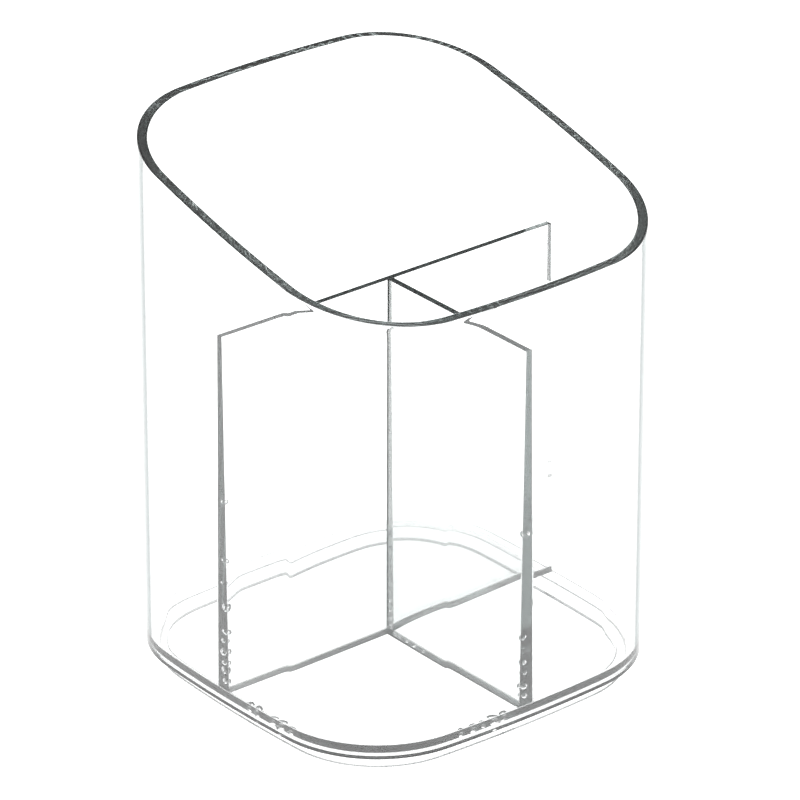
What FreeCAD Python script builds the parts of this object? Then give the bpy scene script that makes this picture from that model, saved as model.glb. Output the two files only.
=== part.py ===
import FreeCAD, Part
import math
import os
import Sketcher

# Clear pen cup with a slanted rim and two dividers that part it into three compartments.
# Frame: +Z up, origin on the table under the middle of the cup. The low wall faces -Y,
# the high wall faces +Y, and the long divider runs along X. Millimetres throughout.

DIMENSIONS = (
    ("outer_width", 89.0, "side wall to side wall, along X"),
    ("outer_depth", 88.0, "low wall to high wall, along Y"),
    ("corner_radius", 24.8, "outer corner of the plan outline"),
    ("side_radius", 330.0, "slight outward bow of the four sides in plan"),
    ("wall_thickness", 2.2, "cup wall"),
    ("rear_height", 120.0, "top of the high wall above the table"),
    ("front_height", 98.7, "top of the low wall above the table"),
    ("rim_round", 0.75, "rounding of both rim edges"),
    ("base_round", 0.5, "rounding of the wall's lower outer edge"),
    ("foot_height", 3.4, "gap between table and floor plate"),
    ("foot_inset", 2.8, "step from the wall's outer face in to the foot"),
    ("foot_width", 2.2, "thickness of the foot ring"),
    ("foot_round", 0.5, "rounding of the foot's lower outer edge"),
    ("floor_thickness", 2.7, "floor plate"),
    ("divider_height", 86.2, "top of both dividers above the table"),
    ("divider_offset", 1.2, "long divider's mid-plane behind the middle of the cup"),
    ("divider_base", 3.4, "thickness of a divider where it stands on the floor"),
    ("divider_crest", 1.4, "thickness of a divider along its top edge"),
    ("crest_round", 0.3, "rounding of the dividers' top edges"),
    ("cut_margin", 5.0, "how far a cutting profile reaches past the solid"),
)

FLOOR_TOP = "(dims.foot_height + dims.floor_thickness)"
RIM_SLOPE = "((dims.rear_height - dims.front_height) / dims.outer_depth)"
REACH = "(dims.outer_width / 2 + dims.cut_margin)"
THROUGH = "2 * " + REACH
TOLERANCE = 1e-4

doc = FreeCAD.newDocument("pen_holder_cup")


def make_sheet():
    sheet = doc.addObject("Spreadsheet::Sheet", "dims")
    for row, (alias, value, note) in enumerate(DIMENSIONS, start=1):
        sheet.set("A%d" % row, str(value))
        sheet.setAlias("A%d" % row, alias)
        sheet.set("B%d" % row, note)
    doc.recompute()
    return sheet


dims = make_sheet()


def value(expression):
    return float(dims.evalExpression(expression))


# ---- sketches ----

def new_body(label):
    body = doc.addObject("PartDesign::Body", label)
    body.Label = label
    return body


def new_sketch(body, name, role, lift="0"):
    """A sketch on one of the body's own origin planes, moved along the plane's normal by lift."""
    sketch = body.newObject("Sketcher::SketchObject", name)
    plane = next(item for item in body.Origin.OriginFeatures if item.Role == role)
    sketch.AttachmentSupport = [(plane, "")]
    sketch.MapMode = "FlatFace"
    sketch.setExpression("AttachmentOffset.Base.z", lift)
    doc.recompute()
    return sketch


def bind(sketch, constraint, name, expression):
    index = sketch.addConstraint(constraint)
    sketch.renameConstraint(index, name)
    sketch.setExpression("Constraints." + name, expression)


def finish_sketch(sketch):
    doc.recompute()
    if sketch.solve() != 0 or not sketch.FullyConstrained:
        raise RuntimeError("%s is not fully constrained" % sketch.Name)
    return sketch


def draw_outline(sketch, inset):
    """The cup's plan outline moved in by inset: four bowed sides and four round corners."""
    side_radius = "dims.side_radius - (%s)" % inset
    corner_radius = "dims.corner_radius - (%s)" % inset
    back_x = "dims.side_radius - dims.outer_width / 2"
    back_y = "dims.side_radius - dims.outer_depth / 2"
    far = value(side_radius)
    near = value(corner_radius)
    off_x = value(back_x)
    off_y = value(back_y)
    span = math.hypot(off_x, off_y)
    rise = math.sqrt((far - near) ** 2 - span ** 2 / 4)
    corner_x = rise * off_y / span - off_x / 2
    corner_y = rise * off_x / span - off_y / 2
    turn_x = math.atan2(corner_y, corner_x + off_x)
    turn_y = math.atan2(corner_x, corner_y + off_y)
    quarter = math.pi / 2
    sides = (
        ((0, off_y), turn_y, (corner_x, -corner_y), turn_x),
        ((-off_x, 0), turn_x, (corner_x, corner_y), turn_y),
        ((0, -off_y), turn_y, (-corner_x, corner_y), turn_x),
        ((off_x, 0), turn_x, (-corner_x, -corner_y), turn_y),
    )
    up = FreeCAD.Vector(0, 0, 1)
    for number, (side_centre, half, corner_centre, next_half) in enumerate(sides):
        facing = quarter * (number - 1)
        side = Part.Circle(FreeCAD.Vector(*side_centre, 0), up, far)
        corner = Part.Circle(FreeCAD.Vector(*corner_centre, 0), up, near)
        sketch.addGeometry(Part.ArcOfCircle(side, facing - half, facing + half))
        last = facing + quarter - next_half
        sketch.addGeometry(Part.ArcOfCircle(corner, facing + half, last))
    for edge in range(8):
        sketch.addConstraint(Sketcher.Constraint("Tangent", edge, 2, (edge + 1) % 8, 1))
    for side, axis in ((0, -2), (2, -1), (4, -2), (6, -1)):
        sketch.addConstraint(Sketcher.Constraint("PointOnObject", side, 3, axis))
    for edge in (3, 5, 7):
        sketch.addConstraint(Sketcher.Constraint("Equal", 1, edge))
    for edge in (2, 4, 6):
        sketch.addConstraint(Sketcher.Constraint("Equal", 0, edge))
    bind(sketch, Sketcher.Constraint("Radius", 0, far), "side", side_radius)
    bind(sketch, Sketcher.Constraint("Radius", 1, near), "corner", corner_radius)
    low = Sketcher.Constraint("DistanceY", -1, 1, 0, 3, off_y)
    right = Sketcher.Constraint("DistanceX", 2, 3, -1, 1, off_x)
    high = Sketcher.Constraint("DistanceY", 4, 3, -1, 1, off_y)
    left = Sketcher.Constraint("DistanceX", -1, 1, 6, 3, off_x)
    bind(sketch, low, "low_centre", back_y)
    bind(sketch, right, "right_centre", back_x)
    bind(sketch, high, "high_centre", back_y)
    bind(sketch, left, "left_centre", back_x)
    return finish_sketch(sketch)


def draw_polygon(sketch, corners):
    """A closed polygon whose corners are (across, up) pairs of sheet expressions."""
    places = [FreeCAD.Vector(value(across), value(up), 0) for across, up in corners]
    count = len(corners)
    for number in range(count):
        sketch.addGeometry(Part.LineSegment(places[number], places[(number + 1) % count]))
    for number in range(count):
        joined = Sketcher.Constraint("Coincident", number, 2, (number + 1) % count, 1)
        sketch.addConstraint(joined)
    for number, (across, up) in enumerate(corners):
        place = places[number]
        sideways = Sketcher.Constraint("DistanceX", -1, 1, number, 1, place.x)
        upwards = Sketcher.Constraint("DistanceY", -1, 1, number, 1, place.y)
        bind(sketch, sideways, "across_%d" % number, across)
        bind(sketch, upwards, "up_%d" % number, up)
    return finish_sketch(sketch)


# ---- features ----

def pad(body, sketch, length, side="One side"):
    feature = body.newObject("PartDesign::Pad", sketch.Name + "_pad")
    feature.Profile = sketch
    feature.SideType = side
    feature.setExpression("Length", length)
    doc.recompute()
    return feature


def pocket(body, sketch, length, side="One side", backwards=False):
    """Cuts the sketch out of the body and makes sure that material really went."""
    before = body.Shape.Volume
    feature = body.newObject("PartDesign::Pocket", sketch.Name + "_cut")
    feature.Profile = sketch
    feature.SideType = side
    feature.Reversed = backwards
    feature.setExpression("Length", length)
    doc.recompute()
    if body.Shape.Volume > before - 1.0:
        raise RuntimeError("%s cuts nothing" % feature.Name)
    return feature


def edges_where(body, chosen):
    """Names of the edges whose ends and middle all satisfy chosen."""
    names = []
    for number, edge in enumerate(body.Tip.Shape.Edges, start=1):
        middle = (edge.FirstParameter + edge.LastParameter) / 2
        points = [edge.valueAt(at) for at in (edge.FirstParameter, middle, edge.LastParameter)]
        if all(chosen(point) for point in points):
            names.append("Edge%d" % number)
    return names


def lower_outer_edges(body):
    """Names of the edges round the outside of the body's lowest face."""
    lowest = min(body.Tip.Shape.Faces, key=lambda face: face.CenterOfMass.z)
    around = lowest.OuterWire.Edges
    names = []
    for number, edge in enumerate(body.Tip.Shape.Edges, start=1):
        if any(edge.isSame(other) for other in around):
            names.append("Edge%d" % number)
    return names


def fillet(body, name, radius, edges):
    if not edges:
        raise RuntimeError("%s finds no edge" % name)
    base = body.Tip
    feature = body.newObject("PartDesign::Fillet", name)
    feature.Base = (base, edges)
    feature.setExpression("Radius", radius)
    doc.recompute()
    return feature


def on_rim(point):
    rise = (point.y + value("dims.outer_depth") / 2) * value(RIM_SLOPE)
    return abs(point.z - value("dims.front_height") - rise) < TOLERANCE


# ---- pieces ----

def make_cup_wall():
    body = new_body("cup_wall")
    outline = draw_outline(new_sketch(body, "wall_outline", "XY_Plane", "dims.foot_height"), "0")
    pad(body, outline, "dims.rear_height + dims.cut_margin - dims.foot_height")
    hollow = new_sketch(body, "wall_hollow", "XY_Plane", "dims.foot_height")
    draw_outline(hollow, "dims.wall_thickness")
    pocket(body, hollow, "dims.rear_height + dims.cut_margin", backwards=True)
    past_depth = "(dims.outer_depth / 2 + dims.cut_margin)"
    lowest = "dims.front_height - dims.cut_margin * " + RIM_SLOPE
    highest = "dims.rear_height + dims.cut_margin * " + RIM_SLOPE
    clear = "dims.rear_height + 2 * dims.cut_margin"
    corners = (
        ("-" + past_depth, lowest),
        (past_depth, highest),
        (past_depth, clear),
        ("-" + past_depth, clear),
    )
    slant = draw_polygon(new_sketch(body, "rim_slant", "YZ_Plane"), corners)
    pocket(body, slant, THROUGH, side="Symmetric")
    fillet(body, "rim_edges", "dims.rim_round", edges_where(body, on_rim))
    fillet(body, "base_edge", "dims.base_round", lower_outer_edges(body))
    return body


def make_floor_plate():
    body = new_body("floor_plate")
    outline = new_sketch(body, "floor_outline", "XY_Plane", "dims.foot_height")
    draw_outline(outline, "dims.wall_thickness")
    pad(body, outline, "dims.floor_thickness")
    return body


def make_foot_ring():
    body = new_body("foot_ring")
    outline = draw_outline(new_sketch(body, "foot_outline", "XY_Plane"), "dims.foot_inset")
    pad(body, outline, "dims.foot_height")
    hollow = new_sketch(body, "foot_hollow", "XY_Plane")
    draw_outline(hollow, "dims.foot_inset + dims.foot_width")
    pocket(body, hollow, "dims.foot_height + dims.cut_margin", backwards=True)
    fillet(body, "foot_edge", "dims.foot_round", lower_outer_edges(body))
    return body


def fill_cavity(body, name):
    """A block that fills the cup from the floor to the dividers' tops, out to the wall."""
    outline = draw_outline(new_sketch(body, name, "XY_Plane", FLOOR_TOP), "dims.wall_thickness")
    return pad(body, outline, "dims.divider_height - " + FLOOR_TOP)


def carve_sides(body, name, plane, middle):
    """Cuts away both sides of a plate that is thick on the floor and thin along its top."""
    for side, sign in (("near", "-"), ("far", "+")):
        corners = (
            (sign + REACH, FLOOR_TOP),
            ("%s %s dims.divider_base / 2" % (middle, sign), FLOOR_TOP),
            ("%s %s dims.divider_crest / 2" % (middle, sign), "dims.divider_height"),
            (sign + REACH, "dims.divider_height"),
        )
        waste = draw_polygon(new_sketch(body, "%s_%s" % (name, side), plane), corners)
        pocket(body, waste, THROUGH, side="Symmetric")


def make_long_divider():
    body = new_body("long_divider")
    fill_cavity(body, "long_block")
    carve_sides(body, "long_side", "YZ_Plane", "dims.divider_offset")
    crest = value("dims.divider_height")
    middle = value("dims.divider_offset")
    half_crest = value("dims.divider_crest") / 2

    def crest_side(point):
        beside = abs(abs(point.y - middle) - half_crest)
        return abs(point.z - crest) < TOLERANCE and beside < TOLERANCE

    fillet(body, "long_crest", "dims.crest_round", edges_where(body, crest_side))
    return body


def make_short_divider():
    body = new_body("short_divider")
    fill_cavity(body, "short_block")
    carve_sides(body, "short_side", "XZ_Plane", "0")
    corners = (
        ("dims.divider_offset - dims.divider_base / 2", FLOOR_TOP),
        (REACH, FLOOR_TOP),
        (REACH, "dims.divider_height"),
        ("dims.divider_offset - dims.divider_crest / 2", "dims.divider_height"),
    )
    seat = draw_polygon(new_sketch(body, "short_seat", "YZ_Plane"), corners)
    pocket(body, seat, THROUGH, side="Symmetric")
    crest = value("dims.divider_height")
    half_crest = value("dims.divider_crest") / 2

    def crest_side(point):
        return abs(point.z - crest) < TOLERANCE and abs(abs(point.x) - half_crest) < TOLERANCE

    fillet(body, "short_crest", "dims.crest_round", edges_where(body, crest_side))
    return body


def check_and_write(pieces):
    doc.recompute()
    for item in doc.Objects:
        if "Invalid" in item.State or "Error" in item.State:
            raise RuntimeError("%s failed: %s" % (item.Name, item.State))
    for number, piece in enumerate(pieces):
        if piece.Shape.isNull() or not piece.Shape.isValid() or len(piece.Shape.Solids) != 1:
            raise RuntimeError("%s is not one valid solid" % piece.Label)
        for other in pieces[number + 1:]:
            if piece.Shape.common(other.Shape).Volume > TOLERANCE:
                raise RuntimeError("%s overlaps %s" % (piece.Label, other.Label))
    os.makedirs("parts", exist_ok=True)
    for piece in pieces:
        piece.Shape.exportStep("parts/%s.step" % piece.Label)
        print(piece.Label, "%.1f mm3" % piece.Shape.Volume, piece.Shape.BoundBox)


check_and_write([
    make_cup_wall(),
    make_floor_plate(),
    make_foot_ring(),
    make_long_divider(),
    make_short_divider(),
])
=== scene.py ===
import math
import random

import bmesh
import bpy
from mathutils import Euler, Matrix, Vector


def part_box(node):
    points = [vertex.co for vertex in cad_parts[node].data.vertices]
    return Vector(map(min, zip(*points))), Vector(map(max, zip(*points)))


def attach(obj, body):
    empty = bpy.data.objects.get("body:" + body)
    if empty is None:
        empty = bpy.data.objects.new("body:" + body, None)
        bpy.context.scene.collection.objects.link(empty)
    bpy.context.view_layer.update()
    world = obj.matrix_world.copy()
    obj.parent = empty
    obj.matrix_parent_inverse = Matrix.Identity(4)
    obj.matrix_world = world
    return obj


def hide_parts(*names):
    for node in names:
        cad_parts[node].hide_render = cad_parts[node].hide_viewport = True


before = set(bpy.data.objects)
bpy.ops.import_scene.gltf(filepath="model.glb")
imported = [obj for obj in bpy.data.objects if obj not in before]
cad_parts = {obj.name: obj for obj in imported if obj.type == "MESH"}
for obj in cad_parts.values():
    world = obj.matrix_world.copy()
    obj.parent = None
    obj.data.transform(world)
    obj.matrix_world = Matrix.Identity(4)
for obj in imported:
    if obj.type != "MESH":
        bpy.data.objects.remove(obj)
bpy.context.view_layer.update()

# The looks of the clear plastic pen cup: five moulded pieces with their real roundings, one
# clear plastic at three depths of tint, the dividers' and floor's denser tint being partly painted
# shade, painted dark silhouette lines, a glowing white table and a soft studio.
# Metres, in the frame of the imported part: the low wall faces -Y, the high wall +Y.
# An inset is a distance inwards from the plan outline, along the outline's normal.

MM = 0.001
ROOT = "root"

floor_low, floor_high = (Vector(corner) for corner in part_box("floor_plate"))
long_low, long_high = (Vector(corner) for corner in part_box("long_divider"))
short_low, short_high = (Vector(corner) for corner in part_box("short_divider"))

# Plan outline, wall and rim.
HALF_WIDTH = 44.5 * MM
HALF_DEPTH = 44.0 * MM
CORNER_RADIUS = 24.8 * MM
SIDE_RADIUS = 330.0 * MM
WALL = 2.2 * MM
FRONT_RIM = 98.7 * MM
REAR_RIM = 120.0 * MM
RIM_SLOPE = (REAR_RIM - FRONT_RIM) / (2 * HALF_DEPTH)
RIM_ROUND = 0.5 * MM
BASE_ROUND = 0.5 * MM

# The wall's outer face leans in from its foot, runs upright along its waist and flares out
# again to a short upright lip.
WAIST_HEIGHT = 30.0 * MM
FLARE_HEIGHT = 2.4 * MM
FLARE_DEPTH = 0.06 * MM
LIP_HEIGHT = 0.8 * MM

# Floor, foot and dividers.
UNDERSIDE = floor_low.z
FLOOR_TOP = floor_high.z
FOOT_INSET = 2.8 * MM
FOOT_WIDTH = 2.2 * MM
FOOT_ROUND = 0.5 * MM
DIVIDER_TOP = long_high.z
DIVIDER_MIDDLE = (long_low.y + long_high.y) / 2
LONG_BASE = long_high.y - long_low.y
SHORT_BASE = short_high.x - short_low.x
CREST = 1.4 * MM
CREST_ROUND = 0.3 * MM
FILLET = 0.25 * MM

# The long divider's right end stands off the wall by a hairline, up to this height.
SEAM = 0.1 * MM
SEAM_TOP = 73.0 * MM

# Pieces reach into their neighbours, so that light passes as in one moulding. Extra rows of
# points stand this far from a rounding, so that its shading doesn't spread over the flat.
OVERLAP = 0.08 * MM
SUPPORT = 0.3 * MM

# How far bubbles lie from the edge of the floor, and from the ends of the dividers. Each one
# takes a share of its stated size at random, and a random turn in radians.
FLOOR_VOID_INSET = 1.2 * MM
END_VOID_INSET = 0.7 * MM
VOID_SHARES = (0.6, 1.35)
VOID_TURN = 0.6

FLAT_STEPS = 24
CORNER_STEPS = 48
ROUND_STEPS = 8
FLARE_STEPS = 8
DRAFT_STEPS = 6
LONG_STEPS = 24
SHORT_STEPS = 16
VOID_STEPS = 20
VOID_RINGS = 12
SMOOTH_ANGLE = math.radians(35)

REFRACTION = 1.52
TINT = (0.55, 0.59, 0.585, 1.0)
WALL_TINT_DEPTH = 19.5
# The dividers and floor are the same plastic as the wall: their far denser tint is partly painted
# shade that darkens them.
DIVIDER_TINT_AND_PAINTED_SHADE = 98.0
FLOOR_TINT_AND_PAINTED_SHADE = 118.0

# A face is on the outside of the cup when the middle of the cup is at least this far behind it.
# Only such faces get the painted edge shade.
OUTSIDE_REACH = 30.0 * MM


# ---- plan outline and sections ----

def corner_middle():
    """Middle of the corner arc in the +X +Y quarter, where it meets both bowed sides smoothly."""
    off = Vector((SIDE_RADIUS - HALF_WIDTH, SIDE_RADIUS - HALF_DEPTH))
    span = off.length
    rise = math.sqrt((SIDE_RADIUS - CORNER_RADIUS) ** 2 - span ** 2 / 4)
    return Vector((rise * off.y / span - off.x / 2, rise * off.x / span - off.y / 2))


def plan_stations():
    """(point, outward normal) pairs round the plan outline, anticlockwise from the low wall."""
    corner = corner_middle()
    turn_x = math.atan2(corner.y, corner.x + SIDE_RADIUS - HALF_WIDTH)
    turn_y = math.atan2(corner.x, corner.y + SIDE_RADIUS - HALF_DEPTH)
    sides = (
        (Vector((0, -1)), Vector((1, 0)), HALF_DEPTH, turn_y, turn_x),
        (Vector((1, 0)), Vector((0, 1)), HALF_WIDTH, turn_x, turn_y),
        (Vector((0, 1)), Vector((-1, 0)), HALF_DEPTH, turn_y, turn_x),
        (Vector((-1, 0)), Vector((0, -1)), HALF_WIDTH, turn_x, turn_y),
    )
    stations = []
    for normal, along, out, half, next_half in sides:
        for step in range(FLAT_STEPS + 1):
            turn = half * (2 * step / FLAT_STEPS - 1)
            outward = normal * math.cos(turn) + along * math.sin(turn)
            stations.append((outward * SIDE_RADIUS - normal * (SIDE_RADIUS - out), outward))
        towards = normal + along
        centre = Vector((corner.x * towards.x, corner.y * towards.y))
        last = math.pi / 2 - next_half
        for step in range(1, CORNER_STEPS):
            turn = half + (last - half) * step / CORNER_STEPS
            outward = normal * math.cos(turn) + along * math.sin(turn)
            stations.append((centre + outward * CORNER_RADIUS, outward))
    return stations


STATIONS = plan_stations()


def arc(centre, radius, first, last):
    """(across, up) points on a circle from angle first to last, in degrees, ends included."""
    points = []
    for step in range(ROUND_STEPS + 1):
        angle = math.radians(first + (last - first) * step / ROUND_STEPS)
        points.append((centre[0] + radius * math.cos(angle), centre[1] + radius * math.sin(angle)))
    return points


def sweep_round(build, profile_at, closed):
    """Sweeps a section round the plan outline. profile_at gives (inset, height) points.

    A closed section makes a ring. An open one makes a plate: its two ends are filled across.
    """
    rings = []
    for point, normal in STATIONS:
        ring = []
        for inset, height in profile_at(point, normal):
            place = point - normal * inset
            ring.append(build.verts.new((place.x, place.y, height)))
        rings.append(ring)
    count = len(rings)
    size = len(rings[0])
    spans = size if closed else size - 1
    for number in range(count):
        here = rings[number]
        there = rings[(number + 1) % count]
        for step in range(spans):
            after = (step + 1) % size
            build.faces.new((here[step], there[step], there[after], here[after]))
    if not closed:
        build.faces.new([ring[0] for ring in rings][::-1])
        build.faces.new([ring[-1] for ring in rings])


# ---- bubbles ----

def add_shell(build, shape):
    """A closed ball of unit radius, stretched and put in place by a matrix, facing inwards."""
    def point(ring, step):
        fall = math.pi * ring / VOID_RINGS
        turn = 2 * math.pi * step / VOID_STEPS
        out = math.sin(fall)
        at = Vector((out * math.cos(turn), out * math.sin(turn), math.cos(fall)))
        return build.verts.new(shape @ at)

    top = point(0, 0)
    rings = [[point(ring, step) for step in range(VOID_STEPS)] for ring in range(1, VOID_RINGS)]
    bottom = point(VOID_RINGS, 0)
    for step in range(VOID_STEPS):
        after = (step + 1) % VOID_STEPS
        build.faces.new((top, rings[0][after], rings[0][step]))
        for upper, lower in zip(rings, rings[1:]):
            build.faces.new((upper[step], upper[after], lower[after], lower[step]))
        build.faces.new((bottom, rings[-1][step], rings[-1][after]))


def add_voids(build, voids):
    """Air bubbles caught in the plastic: small closed shells that face inwards.

    voids lists (middle, half sizes) pairs. Each is turned and resized a little at random.
    """
    chance = random.Random(len(voids))
    for middle, half_sizes in voids:
        size = chance.uniform(*VOID_SHARES)
        turns = [chance.uniform(-VOID_TURN, VOID_TURN) for _ in range(3)]
        turn = Euler(turns).to_matrix().to_4x4()
        stretch = Matrix.Diagonal((*(half_sizes * size), 1.0))
        add_shell(build, Matrix.Translation(middle) @ turn @ stretch)


def void_column(heights, spread, seed, put, half_sizes):
    """Voids one above another, at heights in mm over the floor, straying sideways by spread.

    put(out, up) gives a void's middle. spread and half_sizes are in mm.
    """
    chance = random.Random(seed)
    sizes = Vector(half_sizes) * MM
    reach = spread * MM
    return [(put(chance.uniform(-reach, reach), FLOOR_TOP + up * MM), sizes) for up in heights]


# ---- clear plastic ----

def add_node(tree, kind, values=None, operation=None):
    """A shader node of one kind. values gives its unlinked inputs, by name or number."""
    node = tree.nodes.new(kind)
    if operation:
        node.operation = operation
    for socket, value in (values or {}).items():
        node.inputs[socket].default_value = value
    return node


def link(tree, source, output, target, socket):
    tree.links.new(source.outputs[output], target.inputs[socket])


def set_ramp(node, steps):
    """Gives a colour ramp its steps: (position, colour) pairs."""
    elements = node.color_ramp.elements
    while len(elements) < len(steps):
        elements.new(0.5)
    for element, (position, colour) in zip(elements, steps):
        element.position = position
        element.color = (*colour, 1.0)


def add_painted_edge_shade(tree, place, shader):
    """Painted shade: the base colour turns from white to near black where the cup's outer face is
    seen at a grazing angle, drawing dark silhouette lines.
    """
    level = add_node(tree, "ShaderNodeVectorMath", {1: (1.0, 1.0, 0.0)}, "MULTIPLY")
    outwards = add_node(tree, "ShaderNodeVectorMath", operation="DOT_PRODUCT")
    outside = add_node(tree, "ShaderNodeMath", {1: OUTSIDE_REACH}, "GREATER_THAN")
    facing = add_node(tree, "ShaderNodeLayerWeight", {"Blend": 0.5})
    grazing = add_node(tree, "ShaderNodeMath", operation="MULTIPLY")
    edge = add_node(tree, "ShaderNodeValToRGB")
    # Painted shade ramp: white base colour up to a facing of 0.63, near black from 0.75.
    set_ramp(edge, ((0.63, (1.0, 1.0, 1.0)), (0.75, (0.02, 0.03, 0.03))))
    link(tree, place, "Object", level, 0)
    link(tree, level, "Vector", outwards, 0)
    link(tree, place, "Normal", outwards, 1)
    link(tree, outwards, "Value", outside, 0)
    link(tree, outside, "Value", grazing, 0)
    link(tree, facing, "Facing", grazing, 1)
    link(tree, grazing, "Value", edge, "Fac")
    link(tree, edge, "Color", shader, "Base Color")


def add_polish(tree, place, shader):
    """A polished surface with faint smudges."""
    smudge = add_node(tree, "ShaderNodeTexNoise", {"Scale": 120.0, "Detail": 4.0})
    polish = add_node(tree, "ShaderNodeMapRange", {
        "From Min": 0.35, "From Max": 0.75, "To Min": 0.0, "To Max": 0.006})
    link(tree, place, "Object", smudge, "Vector")
    link(tree, smudge, "Fac", polish, "Value")
    link(tree, polish, "Result", shader, "Roughness")


def add_waves(tree, place, shader):
    """The slight waviness of a moulded surface."""
    wave = add_node(tree, "ShaderNodeTexNoise", {"Scale": 35.0, "Detail": 1.0})
    bump = add_node(tree, "ShaderNodeBump", {"Strength": 0.1, "Distance": 0.02 * MM})
    link(tree, place, "Object", wave, "Vector")
    link(tree, wave, "Fac", bump, "Height")
    link(tree, bump, "Normal", shader, "Normal")


def make_clear_plastic(name, tint_and_painted_shade_depth):
    """Clear moulded plastic: polished, faintly wavy, with a trace of green through its depth, and
    painted shade that darkens its outer face where it is seen at a grazing angle. A tint depth
    above the wall's is partly painted shade.
    """
    material = bpy.data.materials.new(name)
    material.use_nodes = True
    tree = material.node_tree
    tree.nodes.clear()
    output = add_node(tree, "ShaderNodeOutputMaterial")
    shader = add_node(tree, "ShaderNodeBsdfPrincipled", {
        "Transmission Weight": 1.0, "IOR": REFRACTION})
    depth = add_node(tree, "ShaderNodeVolumeAbsorption", {"Color": TINT, "Density": tint_and_painted_shade_depth})
    place = add_node(tree, "ShaderNodeTexCoord")
    # Painted shade: dark lines along the outer face's silhouettes.
    add_painted_edge_shade(tree, place, shader)
    add_polish(tree, place, shader)
    add_waves(tree, place, shader)
    link(tree, shader, "BSDF", output, "Surface")
    link(tree, depth, "Volume", output, "Volume")
    return material


wall_plastic = make_clear_plastic("clear_plastic", WALL_TINT_DEPTH)
# One plastic in three materials: the denser tint of the dividers and floor is partly painted
# shade.
divider_plastic_with_painted_shade = make_clear_plastic("clear_plastic_dividers_painted_shade", DIVIDER_TINT_AND_PAINTED_SHADE)
floor_plastic_with_painted_shade = make_clear_plastic("clear_plastic_floor_painted_shade", FLOOR_TINT_AND_PAINTED_SHADE)


# ---- wall, floor and foot ----

def finish_piece(name, build, replaced, voids, plastic):
    """Makes the object, rides it on the body and lets it stand for its CAD node."""
    bmesh.ops.recalc_face_normals(build, faces=build.faces)
    add_voids(build, voids)
    mesh = bpy.data.meshes.new(name)
    build.to_mesh(mesh)
    build.free()
    for polygon in mesh.polygons:
        polygon.use_smooth = True
    mesh.set_sharp_from_angle(angle=SMOOTH_ANGLE)
    mesh.materials.append(plastic)
    piece = bpy.data.objects.new(name, mesh)
    bpy.context.scene.collection.objects.link(piece)
    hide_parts(replaced)
    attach(piece, ROOT)


def wall_profile(point, normal):
    """The wall's section at one station: slanted round rim, flared lip, rounded lower edge."""
    rim = FRONT_RIM + (point.y + HALF_DEPTH) * RIM_SLOPE
    fall = normal.y * RIM_SLOPE
    lean = math.degrees(math.atan(fall))
    drop = RIM_ROUND * math.hypot(1.0, fall)
    outer = (RIM_ROUND, rim - fall * RIM_ROUND - drop)
    inner = (WALL - RIM_ROUND, rim - fall * (WALL - RIM_ROUND) - drop)
    foot = (BASE_ROUND, UNDERSIDE + BASE_ROUND)
    under_lip = rim - LIP_HEIGHT
    section = arc(foot, BASE_ROUND, 270, 180)
    section.append((0.0, foot[1] + SUPPORT))
    section.append((FLARE_DEPTH, under_lip - FLARE_HEIGHT - WAIST_HEIGHT))
    for step in range(FLARE_STEPS + 1):
        share = step / FLARE_STEPS
        inset = FLARE_DEPTH * (1 - share * share)
        section.append((inset, under_lip - FLARE_HEIGHT * (1 - share)))
    section += arc(outer, RIM_ROUND, 180, 90 - lean)
    section += arc(inner, RIM_ROUND, 90 - lean, 0)
    section.append((WALL, inner[1] - SUPPORT))
    section.append((WALL, UNDERSIDE))
    return section


def make_cup_wall():
    build = bmesh.new()
    sweep_round(build, wall_profile, closed=True)
    finish_piece("clear_cup_wall", build, "cup_wall", [], wall_plastic)


def make_floor():
    """The floor plate, sweeping up into the wall with a small moulded fillet."""
    rise = (WALL + FILLET, FLOOR_TOP + FILLET)
    flat = WALL + FILLET + SUPPORT
    underside = UNDERSIDE + OVERLAP / 4
    section = [
        (flat, underside),
        (WALL - OVERLAP, underside),
        (WALL - OVERLAP, FLOOR_TOP + FILLET),
    ]
    section += arc(rise, FILLET, 180, 270)
    section.append((flat, FLOOR_TOP))
    build = bmesh.new()
    sweep_round(build, lambda point, normal: section, closed=False)
    middle = (UNDERSIDE + FLOOR_TOP) / 2
    left = floor_low.x + FLOOR_VOID_INSET
    front = floor_low.y + FLOOR_VOID_INSET
    voids = []
    for along in (6.0, 8.5, 13.5, 16.0, 19.0):
        beside = Vector((left, long_low.y - along * MM, middle))
        voids.append((beside, Vector((0.6, 1.0, 0.7)) * MM))
    for along in (3.5, 6.0, 9.0, 11.5, 14.5):
        beside = Vector((short_low.x - along * MM, front, middle))
        voids.append((beside, Vector((1.0, 0.6, 0.7)) * MM))
    finish_piece("clear_floor_plate", build, "floor_plate", voids, floor_plastic_with_painted_shade)


def make_foot():
    """The stepped foot: a ring let into the underside of the floor plate."""
    inner_inset = FOOT_INSET + FOOT_WIDTH
    inner_round = FOOT_ROUND / 2
    top = UNDERSIDE + OVERLAP
    section = arc((FOOT_INSET + FOOT_ROUND, FOOT_ROUND), FOOT_ROUND, 180, 270)
    section += arc((inner_inset - inner_round, inner_round), inner_round, 270, 360)
    section.append((inner_inset, inner_round + SUPPORT))
    section.append((inner_inset, top))
    section.append((FOOT_INSET, top))
    section.append((FOOT_INSET, FOOT_ROUND + SUPPORT))
    build = bmesh.new()
    sweep_round(build, lambda point, normal: section, closed=True)
    finish_piece("clear_foot_ring", build, "foot_ring", [], wall_plastic)


# ---- dividers ----

def hollow_flare(distance, radius=FILLET):
    """How far a concave fillet stands out of a face, at a distance from the corner it fills."""
    if distance >= radius:
        return 0.0
    inside = radius - max(distance, 0.0)
    return radius - math.sqrt(max(radius * radius - inside * inside, 0.0))


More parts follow.
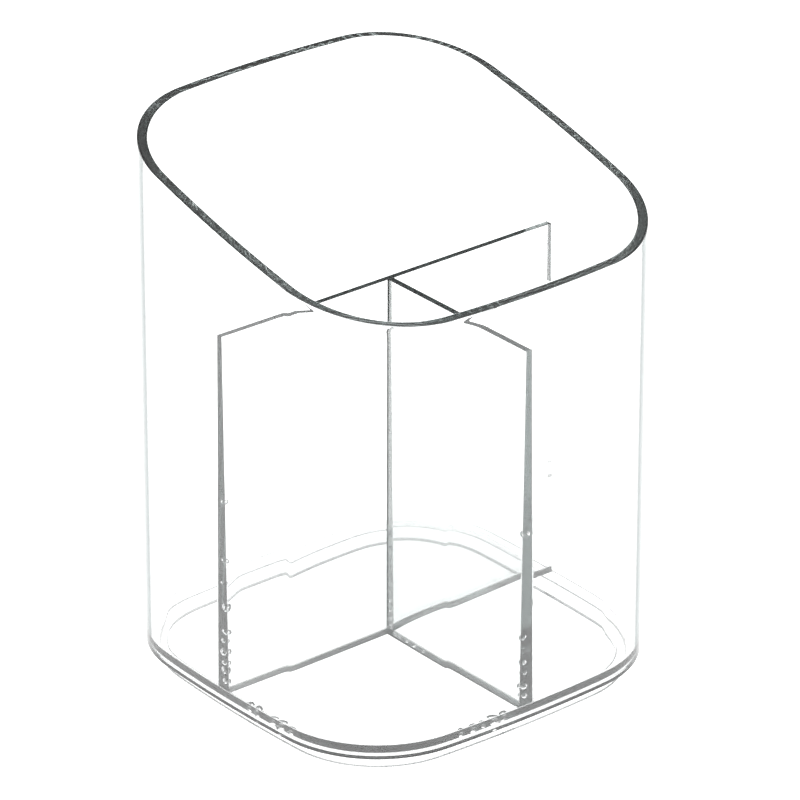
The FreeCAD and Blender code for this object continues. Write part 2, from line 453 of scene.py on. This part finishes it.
def graded(first, last, at_first, at_last, middle_steps):
    """Positions from first to last, closely spaced over the given reach at either end."""
    easing = [1 - math.cos(math.pi / 2 * step / ROUND_STEPS) for step in range(ROUND_STEPS)]
    start = first + at_first
    stop = last - at_last
    points = [first + at_first * share for share in easing]
    for step in range(middle_steps + 1):
        points.append(start + (stop - start) * step / middle_steps)
    points += [last - at_last * share for share in reversed(easing)]
    return points


def draft_share(up):
    """How far up a divider a height is: 0 at the floor, 1 at the top edge."""
    return (up - FLOOR_TOP) / (DIVIDER_TOP - FLOOR_TOP)


def half_thickness(base, up):
    """Half a divider's thickness at a height, base being its thickness at the floor."""
    return (base + (CREST - base) * draft_share(up)) / 2


def build_divider(build, stations, base, place, to_joint, extra_heights=()):
    """A drafted plate. place(along, out, up) puts a point; out is to one side of the middle.

    to_joint(along, up) is the distance along the plate to the nearest end that it joins.
    """
    heights = graded(FLOOR_TOP, DIVIDER_TOP, FILLET, CREST_ROUND, DRAFT_STEPS)
    heights[0] = FLOOR_TOP - OVERLAP
    heights = sorted(heights + list(extra_heights))
    sheets = []
    for side in (-1, 1):
        columns = []
        for along in stations:
            column = []
            for up in heights:
                half = half_thickness(base, up)
                half += max(hollow_flare(up - FLOOR_TOP), hollow_flare(to_joint(along, up)))
                half -= hollow_flare(DIVIDER_TOP - up, CREST_ROUND)
                column.append(build.verts.new(place(along, side * half, up)))
            columns.append(column)
        sheets.append(columns)
    left, right = sheets
    last_row = len(heights) - 1
    for step in range(len(stations) - 1):
        for row in range(last_row):
            for sheet in sheets:
                here, there = sheet[step], sheet[step + 1]
                build.faces.new((here[row], there[row], there[row + 1], here[row + 1]))
        for row in (0, last_row):
            build.faces.new((left[step][row], left[step + 1][row],
                             right[step + 1][row], right[step][row]))
    for step in (0, len(stations) - 1):
        for row in range(last_row):
            build.faces.new((left[step][row], left[step][row + 1],
                             right[step][row + 1], right[step][row]))


def make_long_divider():
    """The divider from side wall to side wall, with the hairline seam at its right end."""
    end = long_high.x
    seam_foot = FLOOR_TOP + FILLET

    def to_joint(along, up):
        if along < 0.0 or up > SEAM_TOP:
            return max(end - abs(along), 0.0)
        return end

    def place(along, out, up):
        if along > end and seam_foot < up <= SEAM_TOP:
            along = end - SEAM
        return (along, DIVIDER_MIDDLE + out, up)

    def by_left_wall(out, up):
        return Vector((-end + END_VOID_INSET, DIVIDER_MIDDLE + out, up))

    stations = graded(-end, end, FILLET, FILLET, LONG_STEPS)
    stations[0] -= OVERLAP
    stations[-1] += OVERLAP
    seam_rows = (seam_foot + SEAM, SEAM_TOP, SEAM_TOP + SEAM)
    build = bmesh.new()
    build_divider(build, stations, LONG_BASE, place, to_joint, seam_rows)
    heights = (2.0, 4.4, 6.2, 8.6, 11.2, 13.4, 19.0, 24.4, 29.6, 43.0)
    voids = void_column(heights, 0.5, 3, by_left_wall, (0.5, 0.8, 0.6))
    finish_piece("clear_long_divider", build, "long_divider", voids, divider_plastic_with_painted_shade)


def make_short_divider():
    """The divider from the low wall to the long divider. Its stations run from 0 to 1."""
    front = short_low.y

    def seat(up):
        """Where the long divider's near face is, at a height."""
        return DIVIDER_MIDDLE - half_thickness(LONG_BASE, up)

    length = seat(FLOOR_TOP) - front

    def to_joint(along, up):
        return min(along, 1.0 - along) * length

    def place(along, out, up):
        at = front + along * (seat(up) - front)
        if along <= 0.0:
            at -= OVERLAP
        if along >= 1.0:
            at += OVERLAP
        return (out, at, up)

    def by_low_wall(out, up):
        return Vector((out, front + END_VOID_INSET, up))

    def by_long_divider(out, up):
        left, before = 0.75 * MM, 0.45 * MM
        return Vector((out - left, seat(up) - before, up))

    end_reach = 0.02
    stations = graded(0.0, 1.0, end_reach, end_reach, SHORT_STEPS)
    build = bmesh.new()
    build_divider(build, stations, SHORT_BASE, place, to_joint)
    wall_heights = (2.2, 4.4, 7.4, 9.9, 15.6, 39.0)
    voids = void_column(wall_heights, 0.5, 4, by_low_wall, (0.8, 0.5, 0.6))
    joint_heights = (1.6, 3.4, 5.2, 7.6, 9.8, 11.4)
    voids += void_column(joint_heights, 0.3, 6, by_long_divider, (0.42, 0.26, 0.5))
    left, above = 0.9 * MM, 0.5 * MM
    for before in (2.0, 3.6, 6.0, 8.5, 11.5):
        along_floor = Vector((-left, seat(FLOOR_TOP) - before * MM, FLOOR_TOP + above))
        voids.append((along_floor, Vector((0.45, 0.7, 0.3)) * MM))
    finish_piece("clear_short_divider", build, "short_divider", voids, divider_plastic_with_painted_shade)


make_cup_wall()
make_floor()
make_foot()
make_long_divider()
make_short_divider()


# ---- table, light and camera ----

def make_table():
    """A white table top, a hair below the foot, bright enough to burn out as on a light table."""
    side = 12.0
    gap = 0.2 * MM
    brightness = 1.85
    bpy.ops.mesh.primitive_plane_add(size=side, location=(0, 0, -gap))
    table = bpy.context.object
    table.name = "table_top"
    material = bpy.data.materials.new("white_table")
    material.use_nodes = True
    tree = material.node_tree
    tree.nodes.clear()
    output = add_node(tree, "ShaderNodeOutputMaterial")
    white = (1.0, 1.0, 1.0, 1.0)
    glow = add_node(tree, "ShaderNodeEmission", {"Color": white, "Strength": brightness})
    link(tree, glow, "Emission", output, "Surface")
    table.data.materials.append(material)


def make_studio():
    """A soft studio: white to the horizon, a grey band 22 to 37 degrees up, paler overhead."""
    world = bpy.data.worlds.new("studio")
    bpy.context.scene.world = world
    world.use_nodes = True
    tree = world.node_tree
    tree.nodes.clear()
    output = add_node(tree, "ShaderNodeOutputWorld")
    background = add_node(tree, "ShaderNodeBackground")
    place = add_node(tree, "ShaderNodeTexCoord")
    parts = add_node(tree, "ShaderNodeSeparateXYZ")
    ramp = add_node(tree, "ShaderNodeValToRGB")
    horizon, band, overhead = 1.2, 0.35, 1.0
    levels = ((0.28, horizon), (0.38, band), (0.60, band), (0.72, overhead))
    set_ramp(ramp, [(rise, (level, level, level)) for rise, level in levels])
    link(tree, place, "Generated", parts, "Vector")
    link(tree, parts, "Z", ramp, "Fac")
    link(tree, ramp, "Color", background, "Color")
    link(tree, background, "Background", output, "Surface")


def make_camera():
    """Looks down from the left of the low wall through a long lens, aimed at the cup's middle."""
    azimuth = math.radians(-39.142)
    elevation = math.radians(26.161)
    distance = 1.3172
    back = Vector((
        math.sin(azimuth) * math.cos(elevation),
        -math.cos(azimuth) * math.cos(elevation),
        math.sin(elevation),
    ))
    target = Vector((0.0, 0.0, REAR_RIM / 2))
    data = bpy.data.cameras.new("camera")
    data.lens = 290.46
    data.sensor_width = 36.0
    data.shift_x = 0.00906
    data.shift_y = -0.00622
    data.clip_start = 0.05
    data.clip_end = 50.0
    camera = bpy.data.objects.new("camera", data)
    bpy.context.scene.collection.objects.link(camera)
    camera.location = target + back * distance
    camera.rotation_euler = (-back).to_track_quat("-Z", "Y").to_euler()
    bpy.context.scene.camera = camera


def set_colour_and_bounces():
    """Plain colours, and many bounces: light zigzags inside the rim and the dividers."""
    scene = bpy.context.scene
    scene.view_settings.view_transform = "Standard"
    scene.view_settings.look = "None"
    deep = 128
    scene.cycles.max_bounces = deep
    scene.cycles.transmission_bounces = deep
    scene.cycles.glossy_bounces = deep
    scene.cycles.transparent_max_bounces = 16
    scene.cycles.use_denoising = True
    scene.cycles.sample_clamp_indirect = 4.0


make_table()
make_studio()
make_camera()
set_colour_and_bounces()
